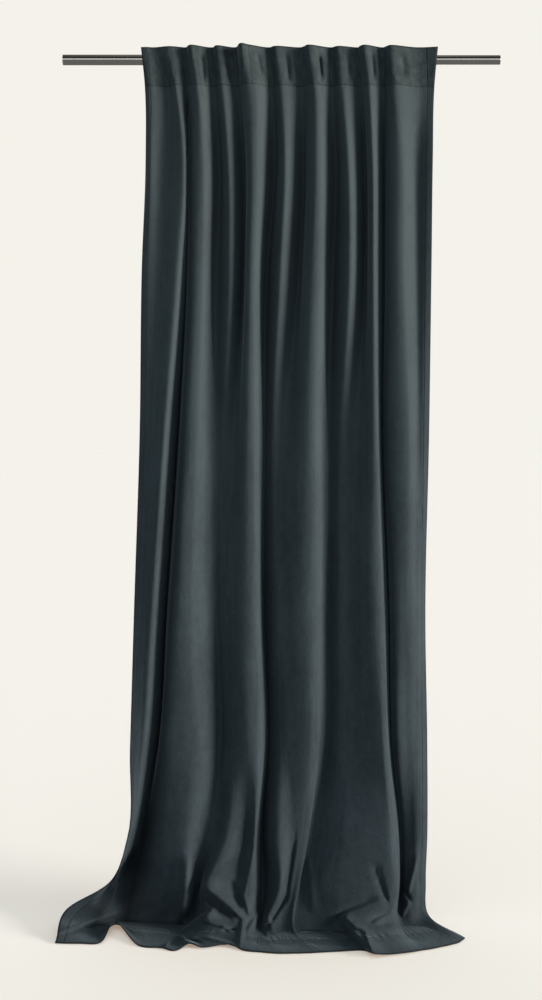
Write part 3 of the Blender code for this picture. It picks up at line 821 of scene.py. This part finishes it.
def tab_mesh(low, high, sizes):
    """Mesh of one tab: a flap behind the header, spun round the rod and sewn down below."""
    turn = high[1] - sizes.thick / 2
    sewn = low[1] + sizes.thick / 2
    lift = math.radians(TAB_LIFT)
    top = Vector((0, sewn, high[2]))
    over = Vector((0, -turn * math.cos(lift), turn * math.sin(lift)))
    slope = over - top
    bpy.ops.object.select_all(action="DESELECT")
    bpy.ops.mesh.primitive_plane_add(size=sizes.width, location=(top + over) / 2,
                                     rotation=(math.atan2(slope.z, slope.y), 0, 0))
    piece = bpy.context.active_object
    piece.scale.y = slope.length / sizes.width
    bpy.ops.object.transform_apply(location=True, rotation=True, scale=True)
    bpy.ops.object.mode_set(mode="EDIT")
    pick(piece, "EDGE", lambda edge: all(abs(v.co.y - over.y) < SAME_PLACE for v in edge.verts))
    to_bottom = math.radians(TAB_LIFT - 270)
    bpy.ops.mesh.spin(steps=TAB_STEPS, angle=to_bottom, center=(0, 0, 0), axis=(1, 0, 0))
    tail = ((0, -turn), (sewn + TAIL_SLACK, TAIL_LEAN), (sewn, TAIL_SEWN), (sewn, low[2]))
    for (y, z), (next_y, next_z) in zip(tail, tail[1:]):
        bpy.ops.mesh.extrude_region_move(TRANSFORM_OT_translate={"value": (0, next_y - y, next_z - z)})
    bpy.ops.mesh.select_all(action="SELECT")
    bpy.ops.mesh.normals_make_consistent(inside=False)
    bpy.ops.object.mode_set(mode="OBJECT")
    layers = piece.modifiers.new("layers", "SOLIDIFY")
    layers.thickness = sizes.thick
    layers.offset = 0.0
    layers.use_even_offset = True
    bpy.ops.object.modifier_apply(modifier="layers")
    round_edges(piece, sizes.thick * 0.3, segments=2, over=60)
    mesh = piece.data
    bpy.data.objects.remove(piece)
    return mesh


def pick(piece, kind, wanted):
    """Select only the edges or faces of the piece in edit mode that pass the test."""
    bpy.ops.mesh.select_mode(type=kind)
    bpy.ops.mesh.select_all(action="DESELECT")
    shape = bmesh.from_edit_mesh(piece.data)
    for item in {"EDGE": shape.edges, "FACE": shape.faces}[kind]:
        item.select_set(bool(wanted(item)))
    bmesh.update_edit_mesh(piece.data)


def round_edges(piece, width, segments, over):
    """Bevel the edges that turn by more than so many degrees, and smooth the rest."""
    bevel = piece.modifiers.new("rounding", "BEVEL")
    bevel.width = width
    bevel.segments = segments
    bevel.limit_method = "ANGLE"
    bevel.angle_limit = math.radians(over)
    bpy.ops.object.modifier_apply(modifier="rounding")
    bpy.ops.object.shade_smooth_by_angle(angle=math.radians(SMOOTH_UNDER))


# Rod


def steel_finish(colours):
    """Satin steel drawn along the tube."""
    f = Finish("satin_steel", Metallic=1.0, Roughness=0.16)
    values = axes(f.tree, f.own_place().socket)
    drawn = f.node("CombineXYZ", inputs={axis: value * repeats
                                         for axis, value, repeats in zip("XYZ", values, DRAWN)})
    lines = f.noise(drawn, 1.0)
    f.set("Base Color", f.mix(lines, shade(colours.steel, 0.85), shade(colours.steel, 1.1)))
    f.set("Roughness", lines.math("MULTIPLY_ADD", 0.08, 0.12))
    f.bump(lines, 0.0001, 0.25)
    return f.material


class CURTAIN_OT_rod(bpy.types.Operator):
    """Build the two tubes of the rod with rounded rims in place of the plain ones"""

    bl_idname = "curtain.rod"
    bl_label = "Telescopic Rod"

    def execute(self, context):
        sizes = context.scene.curtain_rod
        finish = steel_finish(context.scene.curtain_colours)
        for node, open_side in (("rod_outer_tube", 1), ("rod_inner_tube", -1)):
            low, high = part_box(node)
            piece = tube_piece("satin_" + node[4:], low, high, open_side, sizes)
            piece.data.materials.append(finish)
            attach(piece, "root")
            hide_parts(node)
        return {"FINISHED"}


def tube_piece(name, low, high, open_side, sizes):
    """A turned tube: cylinder with an inset, sunk mouth and bevelled rims."""
    radius = (high[2] - low[2]) / 2
    length = high[0] - low[0]
    bpy.ops.object.select_all(action="DESELECT")
    bpy.ops.mesh.primitive_cylinder_add(
        vertices=sizes.sides, radius=radius, depth=length,
        location=((low[0] + high[0]) / 2, 0, 0), rotation=(0, math.pi / 2, 0))
    piece = bpy.context.active_object
    piece.name = name
    piece.data.name = name
    bpy.ops.object.transform_apply(location=True, rotation=True, scale=True)
    bpy.ops.object.mode_set(mode="EDIT")
    mouth = high[0] if open_side > 0 else low[0]
    pick(piece, "FACE", lambda face: abs(face.calc_center_median().x - mouth) < SAME_PLACE)
    bpy.ops.mesh.inset(thickness=MOUTH_WALL, depth=0.0)
    bpy.ops.mesh.extrude_region_move(TRANSFORM_OT_translate={"value": (-sizes.sunk * open_side, 0, 0)})
    bpy.ops.object.mode_set(mode="OBJECT")
    round_edges(piece, sizes.rim, segments=3, over=50)
    return piece


# Stage


class CURTAIN_OT_stage(bpy.types.Operator):
    """Add the pale floor, the soft light and the camera"""

    bl_idname = "curtain.stage"
    bl_label = "Stage"

    def execute(self, context):
        settings = context.scene.curtain_stage
        add_floor(settings)
        add_lights(context.scene, settings)
        add_camera(context.scene)
        context.scene.view_settings.view_transform = "Standard"
        context.scene.view_settings.look = "None"
        return {"FINISHED"}


def add_floor(settings):
    """Pale floor as bright as the backdrop, which darkens only where the curtain shades it."""
    bpy.ops.object.select_all(action="DESELECT")
    bpy.ops.mesh.primitive_circle_add(vertices=96, radius=FLOOR_REACH, fill_type="NGON",
                                      location=(0, 0, FLOOR_Z))
    floor = bpy.context.active_object
    floor.name = "stage_floor"
    f = Finish("stage_floor", Roughness=1.0, Specular_IOR_Level=0.0)
    glow = []
    for pale, fill, key in zip(settings.backdrop, FILL_TINT, SUN_TINT):
        light = settings.fill * fill + settings.sun * SUN_ON_FLOOR / math.pi * key
        glow.append(pale * (1 - FLOOR_SHARE * light))
    f.set("Base Color", shade(settings.backdrop, FLOOR_SHARE))
    f.set("Emission Color", (*glow, 1.0))
    f.set("Emission Strength", 1.0)
    floor.data.materials.append(f.material)
    floor.visible_diffuse = False
    floor.visible_glossy = False


def add_lights(scene, settings):
    """A soft key from the right and a cool even fill; the rod mirrors bright and dark bands."""
    world = bpy.data.worlds.new("pale_surround")
    scene.world = world
    world.use_nodes = True
    tree = world.node_tree
    fill = tree.nodes["Background"]
    view = tree.nodes.new("ShaderNodeBackground")
    view.inputs["Color"].default_value = (*settings.backdrop, 1.0)
    place = tree.nodes.new("ShaderNodeTexCoord")
    height = axes(tree, place.outputs["Generated"])[2]
    path = tree.nodes.new("ShaderNodeLightPath")
    glossy = Val(tree, path.outputs["Is Glossy Ray"])
    bands = height.below(0.0) * MIRROR_BELOW + MIRROR_LEAST
    for middle, reach, bright in MIRROR_BANDS:
        bands = bands + height.near(middle, reach) * bright
    join(tree, fill.inputs["Strength"], glossy * bands + (glossy * -1.0 + 1.0) * settings.fill)
    join(tree, fill.inputs["Color"], mix(tree, glossy, (*FILL_TINT, 1.0), (*SUN_TINT, 1.0)))
    chosen = tree.nodes.new("ShaderNodeMixShader")
    ends = (path.outputs["Is Camera Ray"], fill.outputs[0], view.outputs[0])
    for end, slot in zip(ends, chosen.inputs):
        tree.links.new(end, slot)
    tree.links.new(chosen.outputs[0], tree.nodes["World Output"].inputs[0])
    sun = bpy.data.lights.new("soft_key", "SUN")
    sun.energy = settings.sun
    sun.angle = math.radians(SUN_SOFT)
    sun.color = SUN_TINT
    lamp = bpy.data.objects.new("soft_key", sun)
    lamp.rotation_euler = (-SUN_FROM).to_track_quat("-Z", "Y").to_euler()
    scene.collection.objects.link(lamp)


def add_camera(scene):
    """Level camera in front, framed to the photograph's height of 1000 drawing steps."""
    data = bpy.data.cameras.new("front_camera")
    data.sensor_fit = "VERTICAL"
    data.sensor_height = SENSOR
    data.lens = SENSOR * EYE_AWAY / (PHOTO_HIGH * STEP)
    data.shift_y = (HORIZON - PHOTO_HIGH / 2) / PHOTO_HIGH
    camera = bpy.data.objects.new("front_camera", data)
    camera.location = EYE
    camera.rotation_euler = (math.pi / 2, 0, 0)
    scene.collection.objects.link(camera)
    scene.camera = camera


class CURTAIN_PT_panel(bpy.types.Panel):
    """Lists the curtain's sizes, colours and steps"""

    bl_label = "Curtain"
    bl_space_type = "VIEW_3D"
    bl_region_type = "UI"
    bl_category = "Curtain"

    def draw(self, context):
        scene = context.scene
        for title, group, operator in GROUPS:
            box = self.layout.box()
            box.label(text=title)
            settings = getattr(scene, group)
            for key in settings.bl_rna.properties.keys():
                if key not in ("rna_type", "name"):
                    box.prop(settings, key)
            if operator:
                box.operator(operator)


GROUPS = (
    ("Colours", "curtain_colours", None),
    ("Sheet", "curtain_sheet", "curtain.sheet"),
    ("Tabs", "curtain_tabs", "curtain.tabs"),
    ("Rod", "curtain_rod", "curtain.rod"),
    ("Stage", "curtain_stage", "curtain.stage"),
)

SETTINGS = {
    "curtain_sheet": SheetSizes,
    "curtain_tabs": TabSizes,
    "curtain_rod": RodSizes,
    "curtain_colours": CurtainColours,
    "curtain_stage": StageSettings,
}

CLASSES = (SheetSizes, TabSizes, RodSizes, CurtainColours, StageSettings, CURTAIN_OT_sheet,
           CURTAIN_OT_tabs, CURTAIN_OT_rod, CURTAIN_OT_stage, CURTAIN_PT_panel)


def register():
    """Make the settings, steps and panel known."""
    for cls in CLASSES:
        bpy.utils.register_class(cls)
    for name, group in SETTINGS.items():
        setattr(bpy.types.Scene, name, PointerProperty(type=group))


def unregister():
    """Take them out again."""
    for name in SETTINGS:
        delattr(bpy.types.Scene, name)
    for cls in reversed(CLASSES):
        bpy.utils.unregister_class(cls)


def main():
    """Build every piece and the stage, and keep the sizes."""
    register()
    bpy.ops.curtain.sheet()
    bpy.ops.curtain.tabs()
    bpy.ops.curtain.rod()
    bpy.ops.curtain.stage()


if __name__ == "__main__":
    main()
